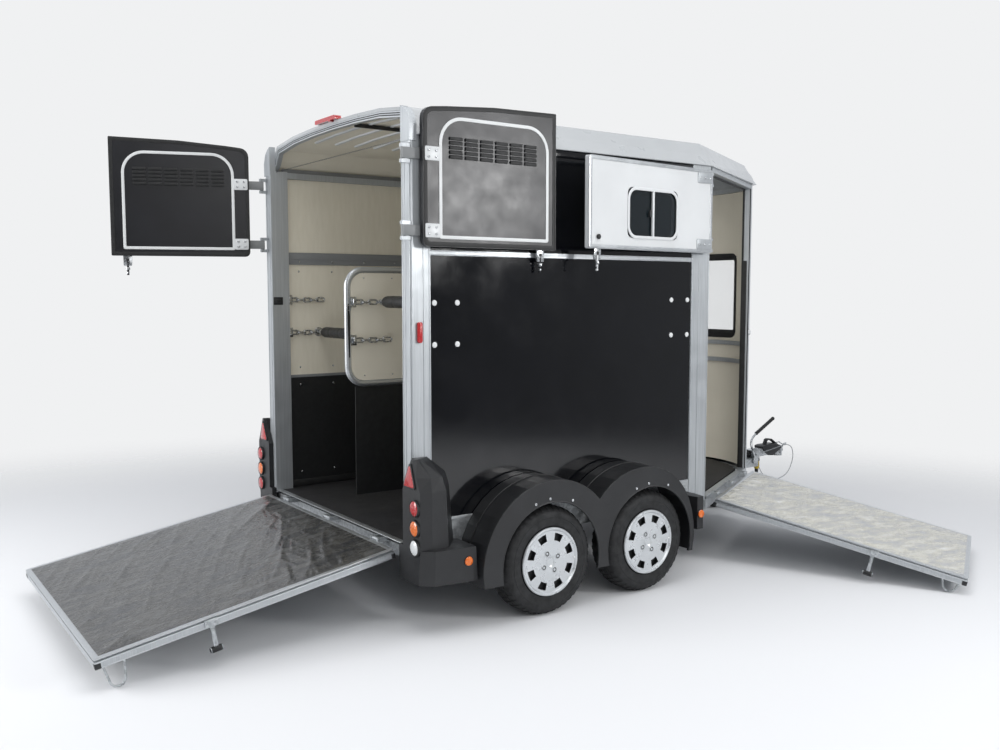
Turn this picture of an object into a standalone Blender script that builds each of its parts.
"""Two-horse trailer, parked with both ramps down and its upper doors open.

Metres. X points forward to the coupling, Y to the left, Z up from the floor.
"""
import math

import bmesh
import bpy
from mathutils import Matrix, Vector

# Clearance between pieces that touch
GAP = 0.0003

# Body shell
HALF_WIDTH = 0.920
BODY_BOTTOM = 0.410
FLOOR_BOTTOM = 0.4063
FLOOR_TOP = 0.425
SILL_TOP = 0.550
BELT_BOTTOM = 1.889
BELT_TOP = 1.914
EAVES_BOTTOM = 2.430
EAVES = 2.4697
PANEL_OUTER = HALF_WIDTH - 0.005
PANEL_INNER = HALF_WIDTH - 0.025
LINING_OUTER = PANEL_INNER - GAP
LINING_INNER = HALF_WIDTH - 0.040
REAR_POST_LENGTH = 0.113
REAR_POST_INNER = 0.906 * HALF_WIDTH
MID_POST_REAR = 1.958
MID_POST_FRONT = 2.116
MID_POST_INNER = HALF_WIDTH - 0.060

# Chamfered front corners and bowed nose
CHAMFER = math.radians(27.8)
CHAMFER_LENGTH = 1.135
FRONT_POST_WIDTH = 0.042
NOSE_BOW = 0.130
NOSE_THICKNESS = 0.020
NOSE_STEPS = 12
POST_WING = 0.046

# Roof
ROOF_REAR = 0.036
ROOF_OVERHANG = HALF_WIDTH + 0.010
ROOF_THICKNESS = 0.018
ROOF_SEAT = EAVES + GAP

# Marker bar on the roof: right and left end
MARKER_BAR = (-0.070, 0.190)

# Wheels
AXLES = (("rear", 0.710), ("front", 1.417))
WHEEL_RADIUS = 0.2915
WHEEL_PLANE = HALF_WIDTH + 0.080
WHEEL_STEPS = 32

# Long rails under the floor, as distances from the centreline
RAIL_INNER = HALF_WIDTH - 0.300
RAIL_OUTER = HALF_WIDTH - 0.255

# Mudguards
GUARD_OUTER = HALF_WIDTH + 0.235
GUARD_ARCHES = ((0.710, 0.440), (1.357, 0.440))
GUARD_TAPER = 0.030
GUARD_STEPS = 14
GUARD_OPENING = 0.322
GUARD_SKIN = 0.008

# Ramps
REAR_RAMP_LENGTH = 1.490
REAR_RAMP_HALF = HALF_WIDTH - 0.105
REAR_RAMP_DROP = math.radians(9.93)
REAR_HINGE = (-0.030, 0.410)
SIDE_RAMP_LENGTH = 1.500
SIDE_RAMP_HALF = 0.530
SIDE_RAMP_DROP = math.radians(12.3)
SIDE_HINGE = (0.548, 0.032, 0.420)
RAMP_THICKNESS = 0.045
RAMP_KNUCKLES = (-0.72, 0.0, 0.72)
KNUCKLE_HALF = 0.030
FILM = 0.003
FOOT_WIRE = 0.005
FOOT_FROM_END = 0.068
LATCH_SHARE = 0.659
FLOOR_CLEARANCE = 0.0005

# Upper doors
DOOR_THICKNESS = 0.030
DOOR_BOTTOM = 1.929
DOOR_PIN = (-0.032, HALF_WIDTH - 0.014)
DOOR_HINGE_EDGE = REAR_POST_INNER - 0.0055
DOOR_ARM = (0.017, 0.026)
DOOR_FREE_EDGE = 0.008
REAR_DOOR_HINGES = (2.007, 2.378)
LOUVRE_TOP = 2.470
LOUVRE_ROWS = 5
LOUVRE_PITCH = 0.0225
RIGHT_DOOR_OPEN = 270.0
LEFT_DOOR_OPEN = 109.7
SIDE_DOOR = (0.020, 1.090)
SIDE_DOOR_HEIGHTS = (1.943, 2.436)
SIDE_DOOR_PIN = (-0.0162, 0.0050)
SIDE_DOOR_HINGES = (1.992, 2.386)
SIDE_DOOR_OPEN = 202.1

# Groom's door in the left chamfer
GROOM_DOOR = (0.220, 0.930)
GROOM_HEIGHTS = (0.600, 2.300)
GROOM_PIN = (0.945, 0.008)
GROOM_HINGES = (0.80, 1.45, 2.10)
GROOM_WINDOW = (0.360, 0.790, 1.620, 2.050)
DOOR_CLEARANCE = 0.006

# Drawbar
DRAWBAR_TOP = 0.400
JOCKEY_AT = (3.420, 0.1501)
JOCKEY_RADIUS = 0.100

ALUMINIUM = ("aluminium", "9FA3A6", 0.38, 1.0)
GALVANISED = ("galvanised_steel", "A9ADB0", 0.42, 0.9)
BLACK_PANEL = ("black_panel", "0C0D10", 0.10, 0.0)
BLACK_PLASTIC = ("black_plastic", "1B1C1D", 0.45, 0.0)
ROOF_GREY = ("roof_moulding", "A9ACAE", 0.35, 0.0)
BEIGE = ("beige_lining", "B9B19F", 0.55, 0.0)
WHITE_SHEET = ("white_door_sheet", "C9CCCE", 0.40, 0.0)
DOOR_BLACK = ("grained_black_door", "15161C", 0.35, 0.0)
RUBBER = ("tyre_rubber", "17181A", 0.75, 0.0)
SILVER = ("silver_hubcap", "C2C6CA", 0.32, 0.6)
FLOOR_BLACK = ("floor_covering", "141415", 0.60, 0.0)
FILM_CLEAR = ("protective_film", "8F9092", 0.30, 0.0)
GLASS = ("tinted_glass", "20262A", 0.06, 0.0)
FOAM = ("bar_padding", "101112", 0.70, 0.0)
STEEL = ("bright_steel", "B4B6B8", 0.30, 1.0)
RED_LENS = ("red_lens", "B0161C", 0.12, 0.0)


def clear_scene():
    for obj in list(bpy.data.objects):
        bpy.data.objects.remove(obj, do_unlink=True)


def new_collection(name):
    group = bpy.data.collections.new(name)
    bpy.context.scene.collection.children.link(group)
    return group


clear_scene()
PARTS = new_collection("horse_trailer")
CUTTERS = new_collection("cutters")


def finish_of(spec):
    """Principled material from a name, an sRGB hex colour, roughness and metallic."""
    name, colour, roughness, metallic = spec
    found = bpy.data.materials.get(name)
    if found:
        return found
    material = bpy.data.materials.new(name)
    material.use_nodes = True
    shader = material.node_tree.nodes["Principled BSDF"]
    values = [int(colour[i:i + 2], 16) / 255 for i in (0, 2, 4)]
    linear = [v / 12.92 if v <= 0.04045 else ((v + 0.055) / 1.055) ** 2.4 for v in values]
    shader.inputs["Base Color"].default_value = (*linear, 1.0)
    shader.inputs["Roughness"].default_value = roughness
    shader.inputs["Metallic"].default_value = metallic
    material.diffuse_color = (*linear, 1.0)
    return material


def empty(name, at, turn=(0, 0, 0), parent=None):
    """Pivot or frame that pieces are placed on."""
    marker = bpy.data.objects.new(name, None)
    marker.empty_display_size = 0.1
    marker.location = at
    marker.rotation_euler = turn
    marker.parent = parent
    PARTS.objects.link(marker)
    return marker


TRAILER = empty("trailer_frame", (0, 0, 0))


def place(name, mesh, parent=None):
    """Object whose origin is at the middle of its mesh, on its parent frame."""
    corners = [v.co for v in mesh.vertices]
    low = Vector([min(c[i] for c in corners) for i in range(3)])
    high = Vector([max(c[i] for c in corners) for i in range(3)])
    middle = (low + high) / 2
    mesh.transform(Matrix.Translation(-middle))
    obj = bpy.data.objects.new(name, mesh)
    obj.location = middle
    obj.parent = parent or TRAILER
    PARTS.objects.link(obj)
    return obj


def tidy(mesh, merge=0.000001):
    bm = bmesh.new()
    bm.from_mesh(mesh)
    bmesh.ops.remove_doubles(bm, verts=bm.verts, dist=merge)
    bmesh.ops.recalc_face_normals(bm, faces=bm.faces)
    bm.to_mesh(mesh)
    bm.free()
    return mesh


def baked(obj):
    """Evaluated mesh of a temporary object, which is then removed."""
    bpy.context.view_layer.update()
    graph = bpy.context.evaluated_depsgraph_get()
    mesh = bpy.data.meshes.new_from_object(obj.evaluated_get(graph), depsgraph=graph)
    bpy.data.objects.remove(obj, do_unlink=True)
    mesh.materials.clear()
    return mesh


def temporary(name, data):
    obj = bpy.data.objects.new(name, data)
    PARTS.objects.link(obj)
    return obj


def block(name, low, high, parent=None):
    """Box between two corners."""
    low, high = Vector(low), Vector(high)
    bm = bmesh.new()
    bmesh.ops.create_cube(bm, size=1)
    size = high - low
    bmesh.ops.scale(bm, vec=size, verts=bm.verts)
    bmesh.ops.translate(bm, vec=(low + high) / 2, verts=bm.verts)
    mesh = bpy.data.meshes.new(name)
    bm.to_mesh(mesh)
    bm.free()
    return place(name, mesh, parent)


def side_block(name, side, low, high, parent=None):
    """Box given with its Y measured outward on one side."""
    ys = sorted((side * low[1], side * high[1]))
    return block(name, (low[0], ys[0], low[2]), (high[0], ys[1], high[2]), parent)


PLANES = {
    "xy": Matrix(((1, 0, 0, 0), (0, 1, 0, 0), (0, 0, 1, 0), (0, 0, 0, 1))),
    "xz": Matrix(((1, 0, 0, 0), (0, 0, -1, 0), (0, 1, 0, 0), (0, 0, 0, 1))),
    "yz": Matrix(((0, 0, 1, 0), (1, 0, 0, 0), (0, 1, 0, 0), (0, 0, 0, 1))),
}


def plate(name, outlines, plane, low, high, parent=None):
    """Flat outline with holes, given thickness from low to high across its plane."""
    curve = bpy.data.curves.new(name, "CURVE")
    curve.dimensions = "2D"
    curve.fill_mode = "BOTH"
    curve.extrude = abs(high - low) / 2
    for points in outlines:
        spline = curve.splines.new("POLY")
        spline.points.add(len(points) - 1)
        for target, point in zip(spline.points, points):
            target.co = (point[0], point[1], 0, 1)
        spline.use_cyclic_u = True
    mesh = baked(temporary(name, curve))
    middle = (low + high) / 2
    shift = -middle if plane == "xz" else middle
    mesh.transform(PLANES[plane] @ Matrix.Translation((0, 0, shift)))
    return place(name, tidy(mesh), parent)


def rounded(points, radius, steps=3):
    """Outline with arcs at its corners; a third value on a point is its own radius."""
    outline = []
    count = len(points)
    for index, point in enumerate(points):
        size = point[2] if len(point) > 2 else radius
        here = Vector(point[:2])
        if size <= 0:
            outline.append(tuple(here))
            continue
        back = (Vector(points[index - 1][:2]) - here).normalized()
        ahead = (Vector(points[(index + 1) % count][:2]) - here).normalized()
        half = back.angle(ahead) / 2
        centre = here + (back + ahead).normalized() * size / math.sin(half)
        first = here + back * size / math.tan(half) - centre
        last = here + ahead * size / math.tan(half) - centre
        begin = math.atan2(first.y, first.x)
        sweep = (math.atan2(last.y, last.x) - begin + math.pi) % (2 * math.pi) - math.pi
        for step in range(steps + 1):
            angle = begin + sweep * step / steps
            outline.append((centre.x + size * math.cos(angle), centre.y + size * math.sin(angle)))
    return outline


def frame_outline(left, right, bottom, top, radius, steps=3):
    return rounded([(left, bottom), (right, bottom), (right, top), (left, top)], radius, steps)


def rod(name, points, radius, roundness=2, closed=False, parent=None):
    """Round bar along a path."""
    curve = bpy.data.curves.new(name, "CURVE")
    curve.dimensions = "3D"
    curve.bevel_depth = radius
    curve.bevel_resolution = roundness
    curve.use_fill_caps = not closed
    spline = curve.splines.new("POLY")
    spline.points.add(len(points) - 1)
    for target, point in zip(spline.points, points):
        target.co = (*point, 1)
    spline.use_cyclic_u = closed
    return place(name, tidy(baked(temporary(name, curve)), 0.00001), parent)


def turned(name, profile, axis, at, steps=24, parent=None):
    """Round piece from a profile of radius and height; the axis is x, y or z, with a sign."""
    mesh = bpy.data.meshes.new(name)
    points = [(radius, 0, height) for radius, height in profile]
    edges = [(i, i + 1) for i in range(len(points) - 1)]
    if profile[0][0] > 0 or profile[-1][0] > 0:
        edges.append((len(points) - 1, 0))
    mesh.from_pydata(points, edges, [])
    obj = temporary(name, mesh)
    screw = obj.modifiers.new("revolve", "SCREW")
    screw.axis = "Z"
    screw.steps = steps
    screw.render_steps = steps
    screw.use_merge_vertices = True
    screw.merge_threshold = 0.00001
    mesh = tidy(baked(obj), 0.00001)
    turns = {
        "z": Matrix.Identity(4),
        "-z": Matrix.Rotation(math.pi, 4, "X"),
        "y": Matrix.Rotation(-math.pi / 2, 4, "X"),
        "-y": Matrix.Rotation(math.pi / 2, 4, "X"),
        "x": Matrix.Rotation(math.pi / 2, 4, "Y"),
        "-x": Matrix.Rotation(-math.pi / 2, 4, "Y"),
    }
    mesh.transform(Matrix.Translation(at) @ turns[axis])
    return place(name, mesh, parent)


def disc(name, radius, axis, at, thickness, steps=16, parent=None):
    """Solid round piece that starts at a point and runs along its axis."""
    profile = [(0, thickness), (radius, thickness), (radius, 0), (0, 0)]
    return turned(name, profile, axis, at, steps, parent)


def loft(name, rings, parent=None):
    """Solid skin through closed rings of equal length."""
    bm = bmesh.new()
    rows = [[bm.verts.new(point) for point in ring] for ring in rings]
    count = len(rings[0])
    for first, second in zip(rows, rows[1:]):
        for i in range(count):
            j = (i + 1) % count
            bm.faces.new((first[i], first[j], second[j], second[i]))
    bm.faces.new(list(reversed(rows[0])))
    bm.faces.new(rows[-1])
    bmesh.ops.recalc_face_normals(bm, faces=bm.faces)
    mesh = bpy.data.meshes.new(name)
    bm.to_mesh(mesh)
    bm.free()
    return place(name, mesh, parent)


def combine(base, others, operation="UNION"):
    """Boolean of other pieces with a base, kept as modifiers."""
    for other in others:
        PARTS.objects.unlink(other)
        CUTTERS.objects.link(other)
        other.hide_render = True
        other.display_type = "WIRE"
        step = base.modifiers.new(other.name[:40], "BOOLEAN")
        step.operation = operation
        step.solver = "EXACT"
        step.object = other
    return base


def dress(obj, name, spec):
    """Final name and material of a sub-part."""
    obj.name = name
    obj.data.name = name
    obj.data.materials.clear()
    obj.data.materials.append(finish_of(spec))
    return obj


def side_name(side):
    return "left" if side > 0 else "right"


def chamfer_frame(side):
    """Frame at the rear corner of a chamfer: X along it, Y toward the left of the trailer."""
    at = (MID_POST_FRONT, side * HALF_WIDTH, 0)
    return empty("chamfer_" + side_name(side), at, (0, 0, -side * CHAMFER), TRAILER)


CHAMFERS = {side: chamfer_frame(side) for side in (1, -1)}


def chamfer_point(side, along, outward, height):
    """Trailer coordinates of a point given along and outward from a chamfer."""
    x = MID_POST_FRONT + along * math.cos(CHAMFER) + outward * math.sin(CHAMFER)
    y = HALF_WIDTH - along * math.sin(CHAMFER) + outward * math.cos(CHAMFER)
    return Vector((x, side * y, height))


NOSE_CORNER = chamfer_point(1, CHAMFER_LENGTH, 0, 0)


def nose_x(y):
    """Front of the bowed nose at a distance from the centreline."""
    return NOSE_CORNER.x + NOSE_BOW * (1 - (y / NOSE_CORNER.y) ** 2)


def nose_line(inset, reach=0.0):
    """Bowed plan line across the nose, from right to left."""
    half = NOSE_CORNER.y - reach
    points = []
    for i in range(NOSE_STEPS + 1):
        y = -half + 2 * half * i / NOSE_STEPS
        points.append((nose_x(y) - inset, y))
    return points


def nose_band(inset, thickness, reach=0.0):
    return nose_line(inset, reach) + list(reversed(nose_line(inset + thickness, reach)))


def build_chassis():
    """Galvanised frame: side sills, long rails, cross-members and the drawbar."""
    base = block("cross_0", (0.020, 0.020 - HALF_WIDTH, 0.345), (0.085, HALF_WIDTH - 0.020, 0.4057))
    pieces = []
    for x in (0.42, 1.06, 1.72):
        pieces.append(block("cross", (x, 0.015 - HALF_WIDTH, 0.345), (x + 0.05, HALF_WIDTH - 0.015, 0.4057)))
    pieces.append(block("cross_mid", (2.03, 0.070 - HALF_WIDTH, 0.345), (2.09, HALF_WIDTH - 0.070, 0.4057)))
    nose_half = NOSE_CORNER.y + 0.064
    pieces.append(block("cross_nose", (2.80, -nose_half, 0.345), (2.86, nose_half, 0.4057)))
    for side in (1, -1):
        pieces.append(side_block("sill", side, (REAR_POST_LENGTH + GAP, PANEL_INNER, 0.398),
                                 (MID_POST_REAR - GAP, HALF_WIDTH, SILL_TOP)))
        pieces.append(side_block("rail", side, (0.030, RAIL_INNER, 0.350), (2.440, RAIL_OUTER, 0.400)))
        arm = [(1.75, side * (RAIL_INNER - 0.015)), (1.75, side * (RAIL_INNER - 0.085)), (3.46, side * 0.010),
               (3.58, side * 0.010), (3.58, side * 0.060), (3.50, side * 0.075)]
        pieces.append(plate("drawbar", [arm], "xy", 0.335, 0.3953))
    for share in RAMP_KNUCKLES:
        for step in (-1, 1):
            edge = share * REAR_RAMP_HALF + step * (KNUCKLE_HALF + GAP)
            low, high = sorted((edge, edge + step * 0.014))
            pieces.append(block("ramp_lug", (REAR_HINGE[0] - 0.0115, low, 0.3985), (0.025, high, 0.4215)))
    pieces.append(block("drawbar_plate", (3.42, -0.055, 0.330), (3.66, 0.055, 0.3997)))
    dress(combine(base, pieces), "chassis", GALVANISED)


def floor_plan(inset):
    """Plan outline of the floor, notched round the posts."""
    right = [(0.1133, -REAR_POST_INNER + GAP), (0.1133, -LINING_INNER + 0.001),
             (MID_POST_REAR - GAP, -LINING_INNER + 0.001), (MID_POST_REAR - GAP, -MID_POST_INNER + GAP),
             (MID_POST_FRONT + 0.004, -MID_POST_INNER + GAP)]
    corner = chamfer_point(-1, CHAMFER_LENGTH - FRONT_POST_WIDTH - 0.02, -inset, 0)
    front = [(NOSE_CORNER.x - 0.075, corner.y), (NOSE_CORNER.x + NOSE_BOW * 0.55 - inset, -0.21),
             (NOSE_CORNER.x + NOSE_BOW - inset, 0)]
    half = [(0.036, -REAR_POST_INNER + GAP)] + right + [(corner.x, corner.y)] + front[1:2]
    mirrored = [(x, -y) for x, y in reversed(half)]
    return half + front[2:] + mirrored


def build_floor():
    dress(plate("floor", [floor_plan(0.065)], "xy", FLOOR_BOTTOM, FLOOR_TOP), "floor", FLOOR_BLACK)


# Rear post cap: beyond the side of the body, above the eaves
POST_CAP = ((0.005, -0.030), (0.008, 0.050), (-0.015, 0.105), (-0.050, 0.133))


def build_side(side):
    """Posts and long rails of one straight side, then its panels and lining."""
    name = side_name(side)
    outline = rounded([(0, REAR_POST_INNER, 0), (0, HALF_WIDTH, 0.012), (REAR_POST_LENGTH, HALF_WIDTH, 0.004),
                       (REAR_POST_LENGTH, REAR_POST_INNER, 0)], 0.004, 2)
    rear = plate("rear_post", [[(x, side * y) for x, y in outline]], "xy", BODY_BOTTOM, EAVES)
    outline = rounded([(MID_POST_REAR, MID_POST_INNER, 0), (MID_POST_REAR, HALF_WIDTH, 0.004),
                       (MID_POST_FRONT, HALF_WIDTH, 0.010), (MID_POST_FRONT + 0.003, MID_POST_INNER, 0)],
                      0.004, 2)
    mid = plate("mid_post", [[(x, side * y) for x, y in outline]], "xy", FLOOR_BOTTOM + 0.0004, EAVES)
    belt = side_block("belt", side, (0.100, PANEL_INNER + GAP, BELT_BOTTOM),
                      (1.970, HALF_WIDTH - 0.001, BELT_TOP))
    eaves = side_block("eaves", side, (0.090, HALF_WIDTH - 0.070, EAVES_BOTTOM),
                       (2.040, HALF_WIDTH - 0.006, EAVES - 0.003))
    cap_outline = [(REAR_POST_INNER + 0.002, EAVES - 0.030)]
    cap_outline += [(HALF_WIDTH + out, EAVES + rise) for out, rise in POST_CAP]
    cap_outline.append((REAR_POST_INNER + 0.002, EAVES + 0.148))
    cap = plate("cap", [[(side * y, z) for y, z in cap_outline]], "yz", -0.004, 0.0355)
    pieces = [mid, belt, eaves, cap]
    for height in REAR_DOOR_HINGES:
        for step in (-1, 1):
            low, high = sorted((height + step * (0.028 + GAP), height + step * 0.046))
            pieces.append(side_block("lug", side, (-0.044, DOOR_PIN[1] - 0.011, low),
                                     (0.006, DOOR_PIN[1] + 0.011, high)))
    if side < 0:
        for height in SIDE_DOOR_HINGES:
            for step in (-1, 1):
                low, high = sorted((height + step * (0.027 + GAP), height + step * 0.042))
                pieces.append(side_block("lug", side, (MID_POST_FRONT - 0.023, HALF_WIDTH - 0.015, low),
                                         (MID_POST_FRONT - 0.001, HALF_WIDTH + 0.022, high)))
    dress(combine(rear, pieces), "side_frame_" + name, ALUMINIUM)

    lower = side_block("lower_panel", side, (REAR_POST_LENGTH + GAP, PANEL_INNER, SILL_TOP + GAP),
                       (MID_POST_REAR - GAP, PANEL_OUTER, BELT_BOTTOM - GAP))
    dress(lower, "lower_panel_" + name, BLACK_PANEL)
    upper = side_block("upper_panel", side, (REAR_POST_LENGTH + GAP, PANEL_INNER, BELT_TOP + GAP),
                       (MID_POST_REAR - GAP, PANEL_OUTER, EAVES_BOTTOM - GAP))
    dress(upper, "upper_panel_" + name, BLACK_PANEL)
    lining = side_block("lining", side, (REAR_POST_LENGTH + GAP, LINING_INNER, FLOOR_TOP + GAP),
                        (MID_POST_REAR - GAP, LINING_OUTER, EAVES_BOTTOM - GAP))
    rail = side_block("inner_rail", side, (REAR_POST_LENGTH + GAP, LINING_INNER - 0.009, 1.885),
                      (MID_POST_REAR - GAP, LINING_INNER + 0.0005, 1.961))
    dress(combine(lining, [rail]), "lining_" + name, BEIGE)


def build_front_frame():
    """Front posts with the sills and headers of the chamfers and the nose."""
    sill = plate("nose_sill", [nose_band(-0.002, 0.050, 0.010)], "xy", 0.3960, BODY_BOTTOM - GAP)
    head = plate("nose_head", [nose_band(-0.002, 0.045, 0.010)], "xy", 2.4403, EAVES - 0.0002)
    pieces = [head]
    for side in (1, -1):
        frame = CHAMFERS[side]
        start = CHAMFER_LENGTH - FRONT_POST_WIDTH
        inner = chamfer_point(1, start, -0.055, 0)
        first = chamfer_point(1, start, 0, 0)
        wing_end = NOSE_CORNER.y - POST_WING
        wing = [(nose_x(y), y) for y in (NOSE_CORNER.y, NOSE_CORNER.y - 0.020, wing_end)]
        corner = [(first.x, first.y)] + wing + [(nose_x(wing_end) - 0.045, wing_end), (inner.x, inner.y)]
        pieces.append(plate("front_post", [[(x, side * y) for x, y in corner]], "xy", 0.3453, EAVES))
        pieces.append(side_block("sill", side, (0.012, -0.050, 0.3460),
                                 (start + 0.01, -0.002, FLOOR_BOTTOM - GAP), frame))
        pieces.append(side_block("head", side, (0.032, -0.050, 2.4403),
                                 (start + 0.01, -0.002, EAVES - 0.0004), frame))
    for share in RAMP_KNUCKLES:
        for step in (-1, 1):
            edge = SIDE_HINGE[0] + share * SIDE_RAMP_HALF + step * (KNUCKLE_HALF + GAP)
            low, high = sorted((edge, edge + step * 0.014))
            pieces.append(side_block("ramp_lug", -1, (low, -0.012, 0.3985),
                                     (high, SIDE_HINGE[1] + 0.0105, 0.4305), CHAMFERS[-1]))
    for low, high in ((1.185, 1.215), (1.315, 1.345)):
        pieces.append(plate("nose_rail", [nose_band(0.035, 0.022, 0.030)], "xy", low, high))
    dress(combine(sill, pieces), "front_frame", ALUMINIUM)


def build_nose():
    """Bowed nose panel and its window."""
    reach = POST_WING + GAP
    panel = plate("nose_panel", [nose_band(0, NOSE_THICKNESS, reach)], "xy", BODY_BOTTOM, 2.440)
    hole = plate("nose_hole", [frame_outline(-0.290, 0.290, 1.400, 1.970, 0.070)], "yz", 3.0, 3.4)
    dress(combine(panel, [hole], "DIFFERENCE"), "nose_panel", BLACK_PANEL)
    frame = plate("nose_window", [nose_band(-0.006, 0.032, 0.090)], "xy", 1.36, 2.01)
    shape = plate("window_shape", [frame_outline(-0.2897, 0.2897, 1.4003, 1.9697, 0.0697)], "yz", 3.0, 3.4)
    combine(frame, [shape], "INTERSECT")
    inner = frame_outline(-0.262, 0.262, 1.428, 1.942, 0.048)
    recess_out = plate("recess_out", [inner], "yz", 3.0, 3.4)
    band = plate("recess_band", [nose_band(-0.020, 0.0235, 0.05)], "xy", 1.38, 1.99)
    combine(recess_out, [band], "INTERSECT")
    recess_in = plate("recess_in", [inner], "yz", 3.0, 3.4)
    band = plate("recess_band", [nose_band(0.0075, 0.030, 0.05)], "xy", 1.38, 1.99)
    combine(recess_in, [band], "INTERSECT")
    combine(frame, [recess_out, recess_in], "DIFFERENCE")
    dress(frame, "nose_window", GLASS)


def build_chamfer_panel():
    """Fixed panel of the left chamfer round the groom's door."""
    left, right = GROOM_DOOR
    bottom, top = GROOM_HEIGHTS
    outer = [(0.0165, FLOOR_BOTTOM), (CHAMFER_LENGTH - FRONT_POST_WIDTH - GAP, FLOOR_BOTTOM),
             (CHAMFER_LENGTH - FRONT_POST_WIDTH - GAP, 2.440), (0.0165, 2.440)]
    hole = frame_outline(left - DOOR_CLEARANCE, right + DOOR_CLEARANCE, bottom - DOOR_CLEARANCE,
                         top + DOOR_CLEARANCE, 0.05)
    panel = plate("chamfer_panel", [outer, hole], "xz", -0.025, -0.005, CHAMFERS[1])
    combine(panel, build_groom_hinges())
    dress(panel, "chamfer_panel_left", BLACK_PANEL)


# Roof lines over the nose: ahead of its corner, beyond it, share of its half width, above the roof's seat
ROOF_NOSE = (
    ((-0.120, 0.089, 1, 0), (-0.090, 0.037, 1, 0.075), (-0.070, 0, 0.952, 0.132), (-0.030, 0, 0.640, 0.140),
     (0, 0, 0.307, 0.144), (0.010, 0, 0, 0.146)),
    ((-0.045, 0.050, 1, 0), (-0.020, 0.005, 1, 0.060), (-0.005, 0, 0.883, 0.102), (0.055, 0, 0.576, 0.106),
     (0.090, 0, 0.282, 0.108), (0.100, 0, 0, 0.109)),
)
ROOF_LIP = (
    ((0.012, 0, 1, 0), (0.026, -0.038, 1, 0.030), (0.036, 0, 0.793, 0.045), (0.098, 0, 0.524, 0.046),
     (0.132, 0, 0.263, 0.047), (0.144, 0, 0, 0.047)),
    ((0.014, -0.004, 1, 0), (0.030, -0.045, 1, 0), (0.045, 0, 0.780, 0), (0.106, 0, 0.517, 0),
     (0.138, 0, 0.259, 0), (0.150, 0, 0, 0)),
)


def roof_sections():
    """Across the roof from right eave to left eave, from the rear edge to the nose lip."""
    across = ((1.0, 0.0), (0.93, 0.075), (0.871, 0.150), (0.60, 0.180), (0.30, 0.192), (0.0, 0.195))
    straight = [(y * ROOF_OVERHANG, ROOF_SEAT + rise) for y, rise in across]

    def row(points):
        full = [(x, -y, z) for x, y, z in points]
        return full + [(x, y, z) for x, y, z in reversed(points[:-1])]

    rear = row([(ROOF_REAR, y, z) for y, z in straight])
    bend = row([(MID_POST_FRONT + 0.004, y, z) for y, z in straight])
    corner = chamfer_point(1, CHAMFER_LENGTH, 0.022, 0)

    def over_nose(start, line):
        return row([(start.x + x, out + start.y * share, ROOF_SEAT + rise) for x, out, share, rise in line])

    upper, turn = (over_nose(NOSE_CORNER, line) for line in ROOF_NOSE)
    lip, foot = (over_nose(corner, line) for line in ROOF_LIP)
    return [rear, bend, upper, turn, lip, foot]


def inner_row(row, back):
    """Underside of a roof section: inset at the eaves, lowered under the skin."""
    last = len(row) - 1
    points = []
    for index, (x, y, z) in enumerate(row):
        inset, drop = ROOF_INSETS.get(min(index, last - index), (0.0, ROOF_THICKNESS))
        lowered = z if back == "foot" else z - drop
        points.append((x - ROOF_BACKS[back], y - math.copysign(inset, y), lowered))
    return points


ROOF_INSETS = {0: (ROOF_THICKNESS, 0.0), 1: (0.0165, 0.008), 2: (0.009, 0.0165)}
ROOF_BACKS = {"rear": 0.0, "bend": 0.0, "upper": 0.008, "turn": 0.013, "lip": 0.017, "foot": ROOF_THICKNESS}


def build_roof():
    """Moulded roof skin, arched across, faceted at the sides and rounded down at the nose."""
    bm = bmesh.new()
    sections = roof_sections()
    outer = [[bm.verts.new(point) for point in row] for row in sections]
    inner = [[bm.verts.new(point) for point in inner_row(row, back)] for row, back in zip(sections, ROOF_BACKS)]
    for grid in (outer, inner):
        for first, second in zip(grid, grid[1:]):
            for i in range(len(first) - 1):
                bm.faces.new((first[i], first[i + 1], second[i + 1], second[i]))
        for edge in (0, -1):
            rows = [row[edge] for row in outer]
            under = [row[edge] for row in inner]
            if grid is outer:
                for i in range(len(rows) - 1):
                    bm.faces.new((rows[i], rows[i + 1], under[i + 1], under[i]))
    for end in (0, -1):
        for i in range(len(outer[end]) - 1):
            bm.faces.new((outer[end][i], outer[end][i + 1], inner[end][i + 1], inner[end][i]))
    bmesh.ops.recalc_face_normals(bm, faces=bm.faces)
    mesh = bpy.data.meshes.new("roof")
    bm.to_mesh(mesh)
    bm.free()
    dress(place("roof", mesh), "roof", ROOF_GREY)


# Rear header: share of the width between the posts, above the eaves
HEADER_TOP = ((1, 0.0873), (0.961, 0.1333), (0.670, 0.1620), (0.335, 0.1739), (0, 0.1769))
HEADER_UNDERSIDE = ((0, 0.130), (0.360, 0.126), (0.672, 0.112), (0.936, 0.075), (1, 0.030))


def build_rear_header():
    """Arched beam between the rear posts, under the roof edge."""
    reach = REAR_POST_INNER - GAP
    top = [(reach * share, EAVES + rise) for share, rise in HEADER_TOP]
    arch = [(-y, z) for y, z in top] + [(y, z) for y, z in reversed(top[:-1])]
    low = [(reach * share, EAVES + rise) for share, rise in HEADER_UNDERSIDE]
    under = [(y, z) for y, z in reversed(low)] + [(-y, z) for y, z in low[1:]]
    dress(plate("rear_header", [arch + under], "yz", 0.037, 0.095), "rear_header", ALUMINIUM)


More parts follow.
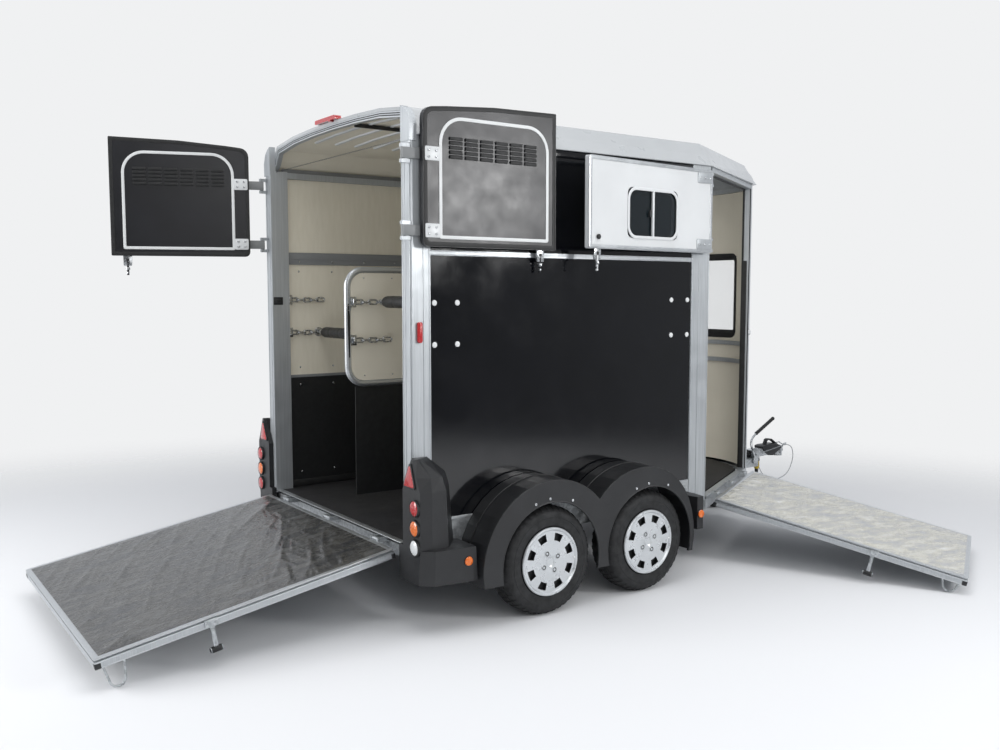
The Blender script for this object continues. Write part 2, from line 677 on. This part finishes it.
def build_roof_marker():
    """Red marker bar seated on the crown at the rear edge of the roof."""
    seat = ROOF_SEAT + 0.195 + GAP
    outline = rounded([(MARKER_BAR[0], seat), (MARKER_BAR[1], seat), (MARKER_BAR[1], seat + 0.022, 0.008),
                       (MARKER_BAR[0], seat + 0.022, 0.008)], 0.001, 2)
    foot = [(-0.012, seat - 0.008), (0.012, seat - 0.008), (0.012, seat + 0.002), (-0.012, seat + 0.002)]
    bar = plate("marker", [outline], "yz", ROOF_REAR - 0.022, ROOF_REAR + 0.020)
    lip = plate("marker_foot", [foot], "yz", ROOF_REAR - 0.022, ROOF_REAR - GAP)
    dress(combine(bar, [lip]), "roof_marker_lamp", RED_LENS)


def build_reflector_block(side):
    """Block with a side reflector, on the sill under the middle post."""
    inner = HALF_WIDTH + GAP
    plan = [(1.800, inner), (1.812, inner + 0.110), (1.830, inner + 0.200), (1.880, inner + 0.200),
            (1.897, inner + 0.110), (1.897, inner)]
    body = plate("block", [[(x, side * y) for x, y in plan]], "xy", 0.300, 0.495)
    axis = "y" if side > 0 else "-y"
    lens = turned("lens", [(0, 0.008), (0.020, 0.007), (0.0235, 0), (0, 0)], axis,
                  (1.855, side * (inner + 0.1995), 0.393), 20)
    dress(combine(body, [lens]), "reflector_block_" + side_name(side), BLACK_PLASTIC)


def build_partition():
    """Centre partition: tube edge, board, hanging lower part and the post that carries it."""
    loop = frame_outline(0.110, 1.800, 1.175, 1.835, 0.100, 5)
    tube = rod("partition_frame", [(x, 0, z) for x, z in loop], 0.018, 2, True)
    post = disc("centre_post", 0.024, "z", (1.862, 0, FLOOR_TOP + GAP), 2.180, 16)
    pieces = [post]
    for height in (1.25, 1.76):
        pieces.append(disc("link", 0.012, "x", (1.795, 0, height), 0.060, 12))
    dress(combine(tube, pieces), "partition_frame", ALUMINIUM)
    board = [frame_outline(0.1283 + GAP, 1.7817 - GAP, 1.1933 + GAP, 1.8167 - GAP, 0.0815, 5)]
    dress(plate("partition_panel", board, "xz", -0.006, 0.006), "partition_panel", WHITE_SHEET)
    skirt = [[(0.155, 0.520), (1.760, 0.520), (1.760, 1.1565), (0.155, 1.1565)]]
    dress(plate("partition_skirt", skirt, "xz", -0.005, 0.005), "partition_skirt", FOAM)


BARS = (
    # name, x, height, inner end, outer end on that side, side
    ("breech_bar_left", 0.3336, 1.445, 0.0225, LINING_INNER - GAP, 1),
    ("breech_bar_right", 0.3006, 1.650, 0.0225, LINING_INNER - GAP, -1),
    ("breast_bar_left", 1.862, 1.445, 0.0245, LINING_INNER - GAP, 1),
    ("breast_bar_right", 1.862, 1.445, 0.0245, LINING_INNER - GAP, -1),
)


def build_bars():
    """Padded bars behind and in front of the horses."""
    for name, x, height, inner, outer, side in BARS:
        axis = "y" if side > 0 else "-y"
        length = outer - inner
        profile = [(0, length), (0.030, length), (0.030, length - 0.006), (0.010, length - 0.006),
                   (0.010, length - 0.075), (0.032, length - 0.080), (0.036, length - 0.100),
                   (0.036, 0.100), (0.032, 0.080), (0.010, 0.075), (0.010, 0), (0, 0)]
        bar = turned(name, profile, axis, (x, side * inner, height), 16)
        dress(bar, name, FOAM)


CHAINS = (
    # name, first link x, y, height, number of links
    ("chain_wall_upper", 0.155, LINING_INNER - 0.022, 1.657, 5),
    ("chain_wall_lower", 0.155, LINING_INNER - 0.022, 1.445, 4),
    ("chain_partition_upper", 0.168, -0.030, 1.650, 3),
    ("chain_partition_lower", 0.168, -0.030, 1.430, 5),
)
LINK_HALF = 0.0165
LINK_BEND = 0.0095
LINK_WIRE = 0.0040
LINK_PITCH = 0.0460


def build_chains():
    """Chains of the breech bars, link through link, held by a bracket at their rear end."""
    for name, x, y, height, count in CHAINS:
        wall = LINING_INNER - GAP if y > 0 else -0.0065
        low, high = sorted((wall, y - 0.006))
        base = block("bracket", (x - 0.035, low, height - 0.018), (x - 0.020, high, height + 0.018))
        links = []
        for index in range(count):
            middle = x + index * LINK_PITCH
            path = []
            for end, first in ((1, -90), (-1, 90)):
                for step in range(4):
                    angle = math.radians(first + 60 * step)
                    along = end * LINK_HALF + LINK_BEND * math.cos(angle)
                    across = LINK_BEND * math.sin(angle)
                    if index % 2:
                        path.append((middle + along, y + across, height))
                    else:
                        path.append((middle + along, y, height + across))
            links.append(rod("link", path, LINK_WIRE, 1, True))
        dress(combine(base, links), name, STEEL)


def build_wheel(side, where, axle_x):
    """Tyre and rim of one wheel, on its own pivot."""
    label = side_name(side) + "_" + where
    pivot = empty("pivot_wheel_" + label, (axle_x, side * WHEEL_PLANE, WHEEL_RADIUS), (0, 0, 0), TRAILER)
    axis = "y" if side > 0 else "-y"
    tyre = [(0.1656, -0.045), (0.240, -0.050), (0.276, -0.036), (0.290, -0.005), (WHEEL_RADIUS, 0.042),
            (0.290, 0.089), (0.277, 0.118), (0.245, 0.135), (0.200, 0.131), (0.1656, 0.117)]
    dress(turned("tyre", tyre, axis, (0, 0, 0), WHEEL_STEPS, pivot), "tyre_" + label, RUBBER)
    rim = [(0, 0.020), (0.050, 0.020), (0.148, 0.052), (0.156, -0.045), (0.1653, -0.045), (0.1653, 0.1176),
           (0.183, 0.1345), (0.178, 0.141), (0.166, 0.132), (0.060, 0.137), (0, 0.130)]
    dress(turned("rim", rim, axis, (0, 0, 0), WHEEL_STEPS, pivot), "rim_" + label, SILVER)


def build_axle(where, axle_x):
    """Beam, brackets, swing arms and hub drums of one axle."""
    beam_x = axle_x + 0.150
    beam_end = HALF_WIDTH - 0.120
    base = rod("beam", [(beam_x, -beam_end, 0.300), (beam_x, beam_end, 0.300)], 0.038, 1)
    pieces = []
    for side in (1, -1):
        axis = "y" if side > 0 else "-y"
        arm = [[(beam_x + 0.045, 0.335), (beam_x + 0.045, 0.262), (axle_x - 0.035, 0.2565),
                (axle_x - 0.045, 0.295), (axle_x - 0.02, 0.328)]]
        low, high = sorted((side * (beam_end - 0.005), side * (beam_end + 0.035)))
        pieces.append(plate("arm", arm, "xz", low, high))
        drum = [(0, 0.1855), (0.045, 0.1855), (0.045, 0.151), (0.085, 0.145), (0.100, 0.120), (0.100, 0.030),
                (0.106, 0.030), (0.106, 0.020), (0.040, 0.018), (0.040, -0.010), (0, -0.010)]
        pieces.append(turned("drum", drum, axis, (axle_x, side * (beam_end + 0.034), WHEEL_RADIUS), 16))
        pieces.append(side_block("bracket", side, (beam_x - 0.040, RAIL_INNER + 0.005, 0.295),
                                 (beam_x + 0.040, RAIL_OUTER - 0.005, 0.3497)))
    dress(combine(base, pieces), "axle_" + where, GALVANISED)


def guard_outline(inset, foot):
    """Outline over both wheels, drawn in by inset and closed along its lower ends."""
    (rear_x, rear_radius), (front_x, front_radius) = ((x, radius - inset) for x, radius in GUARD_ARCHES)
    meet = (rear_x + front_x) / 2
    points = []
    for centre, radius, begin, end in (
            (rear_x, rear_radius, math.pi, math.acos((meet - rear_x) / rear_radius)),
            (front_x, front_radius, math.acos((meet - front_x) / front_radius), 0.0)):
        for step in range(GUARD_STEPS + 1):
            angle = begin + (end - begin) * step / GUARD_STEPS
            reach = radius - GUARD_TAPER * max(0.0, math.cos(angle)) ** 2 * (centre == front_x)
            points.append((centre + reach * math.cos(angle), WHEEL_RADIUS + radius * math.sin(angle)))
    points[GUARD_STEPS:GUARD_STEPS + 2] = [points[GUARD_STEPS]]
    return points + [(points[-1][0] - 0.012, foot), (points[0][0] + 0.008, foot + 0.030)]


def build_mudguard(side):
    """Twin arches over the wheels of one side."""
    inner = HALF_WIDTH + GAP
    low, high = sorted((side * inner, side * GUARD_OUTER))
    body = plate("mudguard", [guard_outline(0, 0.195)], "xz", low, high)
    low, high = sorted((side * (inner - 0.02), side * (GUARD_OUTER - 0.014)))
    hollow = plate("hollow", [guard_outline(GUARD_SKIN, 0.100)], "xz", low, high)
    cutters = [hollow]
    for where, axle_x in AXLES:
        opening = disc("opening", GUARD_OPENING, "y", (axle_x, -GUARD_OUTER - 0.1, WHEEL_RADIUS),
                       2 * GUARD_OUTER + 0.2, 32)
        cutters.append(opening)
    dress(combine(body, cutters, "DIFFERENCE"), "mudguard_" + side_name(side), BLACK_PLASTIC)


LAMP_LEVELS = (0.648, 0.548, 0.451)
# Housing levels, distances across measured from the side of the body:
# height, inner edge, rear outer, corner (x, across), front outer (x, across), front end on the body
HOUSING = (
    (0.265, -0.085, 0.110, 0.030, 0.165, 0.265, 0.190, 0.270),
    (0.440, -0.085, 0.125, 0.030, 0.170, 0.255, 0.190, 0.262),
    (0.442, -0.045, 0.126, 0.030, 0.140, 0.130, 0.132, 0.240),
    (0.727, -0.045, 0.126, 0.030, 0.138, 0.120, 0.128, 0.215),
    (0.800, -0.006, 0.090, 0.030, 0.130, 0.100, 0.120, 0.192),
    (0.884, 0.040, 0.055, 0.000, 0.048, 0.020, 0.040, 0.085),
)


def build_lamp_cluster(side):
    """Corner housing with its lamps, wrapped round the foot of the rear post."""
    back, post = -0.0303, HALF_WIDTH + GAP
    rings = []
    for height, inner, outer, cx, cy, fx, fy, end in HOUSING:
        inner, outer, cy, fy = (HALF_WIDTH + value for value in (inner, outer, cy, fy))
        ring = [(back, inner), (back, outer), (cx, cy), (fx, fy), (end, post), (-GAP, post), (-GAP, inner)]
        rings.append([(x, side * y, height) for x, y in ring])
    housing = loft("lamp_cluster", rings)
    lamps = []
    for height in LAMP_LEVELS:
        profile = [(0, 0.013), (0.037, 0.010), (0.0415, 0), (0, 0)]
        lamps.append(turned("lamp", profile, "-x", (back + 0.001, side * (HALF_WIDTH + 0.0815), height), 16))
    dress(combine(housing, lamps), "lamp_cluster_" + side_name(side), BLACK_PLASTIC)


def foot_and_latch(parts, frame, side, half, length, foot_x, drop, hinge_height, latch_x):
    """Wire foot under the free end of a ramp and the latch on its edge."""
    reach = (hinge_height - foot_x * math.sin(drop) - FLOOR_CLEARANCE) / math.cos(drop) - FOOT_WIRE * 1.02
    y = side * (half - 0.030)
    underside = -RAMP_THICKNESS + 0.004
    path = [(foot_x - 0.060, y, underside), (foot_x - 0.045, y, -reach + 0.020),
            (foot_x - 0.030, y, -reach + 0.002), (foot_x - 0.012, y, -reach), (foot_x + 0.006, y, -reach + 0.006),
            (foot_x + 0.018, y, -reach + 0.022), (foot_x + 0.035, y, underside)]
    parts.append(rod("foot", path, FOOT_WIRE, 2, False, frame))
    parts.append(side_block("latch", side, (latch_x - 0.030, half - 0.002, -0.040),
                            (latch_x + 0.030, half + 0.010, -0.008), frame))
    parts.append(side_block("latch_arm", side, (latch_x - 0.010, half + 0.001, -0.150),
                            (latch_x + 0.010, half + 0.009, -0.030), frame))
    parts.append(disc("latch_tip", 0.014, "x", (latch_x - 0.028, side * (half + 0.005), -0.150), 0.056, 12,
                      frame))


def build_ramp(name, frame, half, length, drop, hinge_height, start):
    """Ramp in its own frame: X away from the hinge, Z up from its surface."""
    foot_x = length - FOOT_FROM_END
    latch_x = LATCH_SHARE * length
    outline = rounded([(start, -half), (length, -half), (length, half), (start, half)], 0.006, 2)
    deck = plate("deck", [outline], "xy", -RAMP_THICKNESS, -0.012, frame)
    step = 0.014
    inner = rounded([(start + step, -half + step), (length - step, -half + step), (length - step, half - step),
                     (start + step, half - step)], 0.004, 2)
    parts = [plate("upper_deck", [inner], "xy", -0.016, 0, frame)]
    for side in (1, -1):
        foot_and_latch(parts, frame, side, half, length, foot_x, drop, hinge_height, latch_x)
    for share in RAMP_KNUCKLES:
        y = share * half
        parts.append(disc("knuckle", 0.011, "y", (0, y - KNUCKLE_HALF, 0), 2 * KNUCKLE_HALF, 12, frame))
        parts.append(block("hinge_leaf", (0.004, y - 0.029, -0.0095),
                           (start + 0.040, y + 0.029, -0.0035), frame))
        parts.append(block("hinge_web", (start + 0.001, y - 0.027, -0.030),
                           (start + 0.035, y + 0.027, -0.005), frame))
    dress(combine(deck, parts), name, ALUMINIUM)
    film = rounded([(start + 0.020, -half + 0.020), (length - 0.020, -half + 0.020),
                    (length - 0.020, half - 0.020), (start + 0.020, half - 0.020)], 0.010, 2)
    dress(plate("film", [film], "xy", GAP, FILM, frame), name + "_film", FILM_CLEAR)


def build_ramps():
    rear = empty("pivot_rear_ramp", (REAR_HINGE[0], 0, REAR_HINGE[1]), (0, REAR_RAMP_DROP, math.pi), TRAILER)
    rear.rotation_mode = "XYZ"
    rear.rotation_euler = (0, REAR_RAMP_DROP, math.pi)
    build_ramp("rear_ramp", rear, REAR_RAMP_HALF, REAR_RAMP_LENGTH, REAR_RAMP_DROP, REAR_HINGE[1], 0.020)
    along, outward, height = SIDE_HINGE
    at = chamfer_point(-1, along, outward, height)
    heading = math.atan2(-math.cos(CHAMFER), math.sin(CHAMFER))
    side = empty("pivot_side_ramp", at, (0, SIDE_RAMP_DROP, heading), TRAILER)
    build_ramp("side_ramp", side, SIDE_RAMP_HALF, SIDE_RAMP_LENGTH, SIDE_RAMP_DROP, height, 0.022)


def build_rear_door(side):
    """Upper rear door in its closed position, turned open on its pin."""
    name = side_name(side)
    opened = math.radians(-side * (LEFT_DOOR_OPEN if side > 0 else RIGHT_DOOR_OPEN))
    pivot = empty("pivot_rear_door_" + name, (DOOR_PIN[0], side * DOOR_PIN[1], 0), (0, 0, opened), TRAILER)
    near = DOOR_HINGE_EDGE - DOOR_PIN[1]
    far = DOOR_FREE_EDGE - DOOR_PIN[1]
    outer = -DOOR_PIN[0]
    inner = outer + DOOR_THICKNESS
    shape = rounded([(far, DOOR_BOTTOM, 0.006), (near, DOOR_BOTTOM, 0.030), (near, 2.598, 0.055),
                     (near - 0.14, 2.613, 0.0), (near - 0.42, 2.635, 0.0), (far, 2.645, 0.006)], 0.006, 4)
    door = plate("door", [[(side * y, z) for y, z in shape]], "yz", outer, inner, pivot)
    parts = []
    for height in REAR_DOOR_HINGES:
        parts.append(side_block("arm", side, (DOOR_ARM[0], near - 0.085, height - 0.026),
                                (DOOR_ARM[1], 0.012, height + 0.026), pivot))
        parts.append(side_block("arm_pad", side, (DOOR_ARM[1] - 0.001, near - 0.085, height - 0.024),
                                (outer + 0.001, near - 0.006, height + 0.024), pivot))
        parts.append(disc("knuckle", 0.011, "z", (0, 0, height - 0.028), 0.056, 12, pivot))
        parts.append(side_block("arm_root", side, (0.004, -0.010, height - 0.025),
                                (DOOR_ARM[1] - 0.001, 0.010, height + 0.025), pivot))
        parts.append(side_block("hinge_plate", side, (inner - 0.001, near - 0.088, height - 0.031),
                                (inner + 0.004, near - 0.008, height + 0.031), pivot))
    teeth = [(inner - 0.002, LOUVRE_TOP)]
    for row in range(LOUVRE_ROWS):
        z = LOUVRE_TOP - row * LOUVRE_PITCH
        teeth += [(inner + 0.0065, z - 0.0150), (inner + 0.0010, z - 0.0165),
                  (inner + 0.0010, z - LOUVRE_PITCH)]
    teeth[-1] = (inner - 0.002, LOUVRE_TOP - LOUVRE_ROWS * LOUVRE_PITCH + 0.004)
    for column in range(6):
        y = near - 0.150 - column * 0.092
        ys = sorted((side * y, side * (y - 0.076)))
        parts.append(plate("louvres", [teeth], "xz", ys[0], ys[1], pivot))
    parts.append(side_block("plunger_plate", side, (outer + 0.006, far + 0.070, DOOR_BOTTOM - 0.045),
                            (outer + 0.012, far + 0.110, DOOR_BOTTOM + 0.004), pivot))
    at = (outer + 0.009, side * (far + 0.090), DOOR_BOTTOM - 0.118)
    parts.append(disc("plunger", 0.007, "z", at, 0.080, 12, pivot))
    dress(combine(door, parts), "rear_door_" + name, DOOR_BLACK)


def build_side_door():
    """Upper door over the side ramp, turned open against the side."""
    pin = chamfer_point(-1, SIDE_DOOR_PIN[0], SIDE_DOOR_PIN[1], 0)
    heading = CHAMFER - math.radians(SIDE_DOOR_OPEN)
    pivot = empty("pivot_side_top_door", pin, (0, 0, heading), TRAILER)
    near = SIDE_DOOR[0] - SIDE_DOOR_PIN[0]
    far = SIDE_DOOR[1] - SIDE_DOOR_PIN[0]
    outer = SIDE_DOOR_PIN[1]
    inner = outer + DOOR_THICKNESS
    bottom, top = SIDE_DOOR_HEIGHTS
    shape = rounded([(near, bottom), (far, bottom), (far, top), (near, top)], 0.012, 3)
    hole = frame_outline(near + 0.326, near + 0.763, 2.007, 2.289, 0.035)
    door = plate("door", [shape, hole], "xz", outer, inner, pivot)
    parts = []
    for height in SIDE_DOOR_HINGES:
        parts.append(block("arm", (0.004, outer - 0.006, height - 0.024),
                           (near + 0.110, outer + 0.001, height + 0.024), pivot))
        parts.append(disc("knuckle", 0.009, "z", (0, 0, height - 0.027), 0.054, 12, pivot))
        parts.append(block("hinge_plate", (near + 0.014, inner - 0.001, height - 0.030),
                           (near + 0.138, inner + 0.004, height + 0.030), pivot))
    parts.append(block("plunger_plate", (far - 0.100, outer + 0.012, bottom - 0.045),
                       (far - 0.060, outer + 0.018, bottom + 0.004), pivot))
    parts.append(disc("plunger", 0.007, "z", (far - 0.080, outer + 0.015, bottom - 0.120), 0.082, 12, pivot))
    dress(combine(door, parts), "side_top_door", WHITE_SHEET)
    frame = [frame_outline(near + 0.326 + GAP, near + 0.763 - GAP, 2.007 + GAP, 2.289 - GAP, 0.035 - GAP),
             frame_outline(near + 0.345, near + 0.744, 2.026, 2.270, 0.020)]
    window = plate("window", frame, "xz", outer - 0.001, inner + 0.004, pivot)
    pane = plate("pane", [frame_outline(near + 0.340, near + 0.749, 2.021, 2.275, 0.018)], "xz", outer + 0.012,
                 outer + 0.018, pivot)
    dress(combine(window, [pane]), "side_door_window", GLASS)


def build_groom_door():
    """Groom's door in the left chamfer, with its window."""
    pin = chamfer_point(1, GROOM_PIN[0], GROOM_PIN[1], 0)
    pivot = empty("pivot_groom_door", pin, (0, 0, -CHAMFER), TRAILER)
    left, right = (value - GROOM_PIN[0] for value in GROOM_DOOR)
    bottom, top = GROOM_HEIGHTS
    outer = -GROOM_PIN[1]
    inner = outer - DOOR_THICKNESS
    w_left, w_right, w_bottom, w_top = GROOM_WINDOW
    w_left, w_right = w_left - GROOM_PIN[0], w_right - GROOM_PIN[0]
    hole = frame_outline(w_left, w_right, w_bottom, w_top, 0.05)
    door = plate("door", [frame_outline(left, right, bottom, top, 0.045), hole], "xz", inner, outer, pivot)
    parts = []
    for height in GROOM_HINGES:
        parts.append(block("leaf", (-0.090, outer - 0.001, height - 0.021),
                           (-0.002, outer + 0.006, height + 0.021), pivot))
        parts.append(disc("knuckle", 0.008, "z", (0, 0, height - 0.025), 0.050, 12, pivot))
    parts.append(block("handle", (left + 0.040, outer - 0.001, 1.250),
                       (left + 0.075, outer + 0.014, 1.400), pivot))
    dress(combine(door, parts), "groom_door", BLACK_PANEL)
    frame = [frame_outline(w_left + GAP, w_right - GAP, w_bottom + GAP, w_top - GAP, 0.05 - GAP),
             frame_outline(w_left + 0.020, w_right - 0.020, w_bottom + 0.020, w_top - 0.020, 0.03)]
    window = plate("window", frame, "xz", inner - 0.002, outer + 0.004, pivot)
    sheet = frame_outline(w_left + 0.015, w_right - 0.015, w_bottom + 0.015, w_top - 0.015, 0.03)
    pane = plate("pane", [sheet], "xz", inner + 0.010, inner + 0.016, pivot)
    dress(combine(window, [pane]), "groom_door_window", GLASS)


def build_groom_hinges():
    """Hinge leaves on the chamfer beside the groom's door."""
    frame = CHAMFERS[1]
    pieces = []
    for height in GROOM_HINGES:
        for step in (-1, 1):
            low, high = sorted((height + step * (0.025 + GAP), height + step * 0.040))
            pieces.append(block("lug", (GROOM_PIN[0] - 0.006, -0.012, low),
                                (GROOM_PIN[0] + 0.030, GROOM_PIN[1] + 0.006, high), frame))
    return pieces


def build_jockey():
    """Jockey wheel: stem with handle, swivelling fork and wheel."""
    x, y = JOCKEY_AT
    stem = disc("jockey_stem", 0.0240, "z", (x, y, 0.2300), 0.5000, 20)
    parts = [disc("jockey_screw", 0.012, "z", (x, y, 0.7290), 0.040, 12)]
    parts.append(block("jockey_clamp", (x - 0.035, y - 0.0400, 0.350), (x + 0.035, y + 0.030, 0.425)))
    crank = [(x, y, 0.762), (x, y + 0.090, 0.766), (x, y + 0.098, 0.775), (x, y + 0.100, 0.830)]
    parts.append(rod("jockey_handle", crank, 0.007, 2))
    dress(combine(stem, parts), "jockey_stem", GALVANISED)
    swivel = empty("pivot_jockey_fork", (x, y, 0.2247), (0, 0, 0), TRAILER)
    fork = disc("fork_head", 0.020, "z", (0, 0, -0.018), 0.0230, 16, swivel)
    parts = []
    for side in (1, -1):
        arm = [[(-0.020, 0.000), (0.020, 0.000), (-0.020, -0.140), (-0.048, -0.140)]]
        low, high = sorted((side * 0.034, side * 0.039))
        parts.append(plate("fork_arm", arm, "xz", low, high, swivel))
    parts.append(block("fork_top", (-0.0195, -0.036, -0.0060), (0.0195, 0.036, 0.0005), swivel))
    dress(combine(fork, parts), "jockey_fork", GALVANISED)
    trail = -0.030
    spin = empty("pivot_jockey_wheel", (trail, 0, JOCKEY_RADIUS - 0.2247), (0, 0, 0), swivel)
    half = [(0, 0.0330), (0.020, 0.0330), (0.022, 0.020), (0.070, 0.016), (0.078, 0.0225), (0.094, 0.0225),
            (JOCKEY_RADIUS, 0.012)]
    profile = half + [(radius, -across) for radius, across in reversed(half)]
    dress(turned("wheel", profile, "y", (0, 0, 0), 24, spin), "jockey_wheel", RUBBER)


def build_coupling():
    """Coupling head with its cover and lever, then the handbrake lever."""
    base = block("coupling", (3.600, -0.038, DRAWBAR_TOP + GAP), (3.760, 0.038, 0.460))
    shape = [[(3.740, 0.402), (3.965, 0.402), (3.985, 0.425), (3.975, 0.462), (3.940, 0.478), (3.740, 0.470)]]
    cover = plate("coupling_cover", shape, "xz", -0.043, 0.043)
    cup = [(0, 0.060), (0.036, 0.055), (0.042, 0.020), (0.042, 0), (0, 0)]
    socket = turned("socket", cup, "z", (3.950, 0, 0.385), 24)
    pull = [(3.780, 0, 0.465), (3.800, 0, 0.505), (3.840, 0, 0.523), (3.930, 0, 0.512)]
    lever = rod("coupling_lever", pull, 0.009, 2)
    tube = disc("overrun_tube", 0.026, "x", (3.500, 0, 0.4300), 0.120, 16)
    dress(combine(base, [cover, socket, lever, tube]), "coupling_head", BLACK_PLASTIC)
    root = block("handbrake_root", (3.582, -0.075, DRAWBAR_TOP + GAP), (3.640, -0.0575, 0.470))
    shaft = [(3.600, -0.067, 0.440), (3.597, -0.055, 0.500), (3.606, -0.040, 0.560), (3.661, -0.030, 0.592)]
    lever = rod("handbrake_shaft", shaft, 0.009, 2)
    hold = [(3.650, -0.031, 0.586), (3.700, -0.027, 0.616), (3.790, -0.022, 0.662), (3.875, -0.020, 0.693)]
    grip = rod("handbrake_grip", hold, 0.0145, 2)
    foot = block("handbrake_foot", (3.584, -0.0800, 0.3600), (3.638, -0.0553, 0.4200))
    dress(combine(root, [lever, grip, foot]), "handbrake_lever", BLACK_PLASTIC)


CABLE = (
    (3.6404, -0.066, 0.435), (3.700, -0.067, 0.440), (3.800, -0.066, 0.452), (3.920, -0.062, 0.468),
    (4.010, -0.050, 0.470), (4.085, -0.035, 0.445), (4.130, -0.020, 0.395), (4.145, -0.008, 0.335),
    (4.130, 0.000, 0.270), (4.085, 0.004, 0.215), (4.010, 0.006, 0.188), (3.930, 0.004, 0.185),
    (3.850, 0.000, 0.205), (3.780, -0.004, 0.245), (3.735, -0.006, 0.295), (3.705, -0.006, 0.352),
    (3.6605, -0.006, 0.352),
)


def smooth_path(points, steps):
    """Points of a curve that runs evenly through the given ones."""
    path = []
    last = len(points) - 1
    vectors = [Vector(p) for p in points]
    for i in range(last):
        before = vectors[max(i - 1, 0)]
        after = vectors[min(i + 2, last)]
        a, b = vectors[i], vectors[i + 1]
        for step in range(steps):
            t = step / steps
            path.append(0.5 * (2 * a + (b - before) * t + (2 * before - 5 * a + 4 * b - after) * t ** 2
                               + (3 * a - before - 3 * b + after) * t ** 3))
    path.append(vectors[last])
    return [tuple(p) for p in path]


def build_cable():
    dress(rod("breakaway_cable", smooth_path(CABLE, 3), 0.003, 2), "breakaway_cable", STEEL)


def stand_on_origin():
    """Moves the trailer so that the middle of its underside, its cable apart, is the origin."""
    bpy.context.view_layer.update()
    graph = bpy.context.evaluated_depsgraph_get()
    low, high = Vector((1e9,) * 3), Vector((-1e9,) * 3)
    for obj in PARTS.objects:
        if obj.type != "MESH" or obj.name == "breakaway_cable":
            continue
        solid = obj.evaluated_get(graph)
        for corner in solid.data.vertices:
            point = solid.matrix_world @ corner.co
            for i in range(3):
                low[i] = min(low[i], point[i])
                high[i] = max(high[i], point[i])
    TRAILER.location = (-(low.x + high.x) / 2, -(low.y + high.y) / 2, -low.z)
    bpy.context.view_layer.update()


def main():
    build_chassis()
    build_floor()
    for side in (1, -1):
        build_side(side)
        build_mudguard(side)
        build_lamp_cluster(side)
        build_reflector_block(side)
        build_rear_door(side)
        for where, axle_x in AXLES:
            build_wheel(side, where, axle_x)
    for where, axle_x in AXLES:
        build_axle(where, axle_x)
    build_front_frame()
    build_nose()
    build_chamfer_panel()
    build_roof()
    build_rear_header()
    build_roof_marker()
    build_partition()
    build_bars()
    build_chains()
    build_ramps()
    build_side_door()
    build_groom_door()
    build_jockey()
    build_coupling()
    build_cable()
    stand_on_origin()


main()
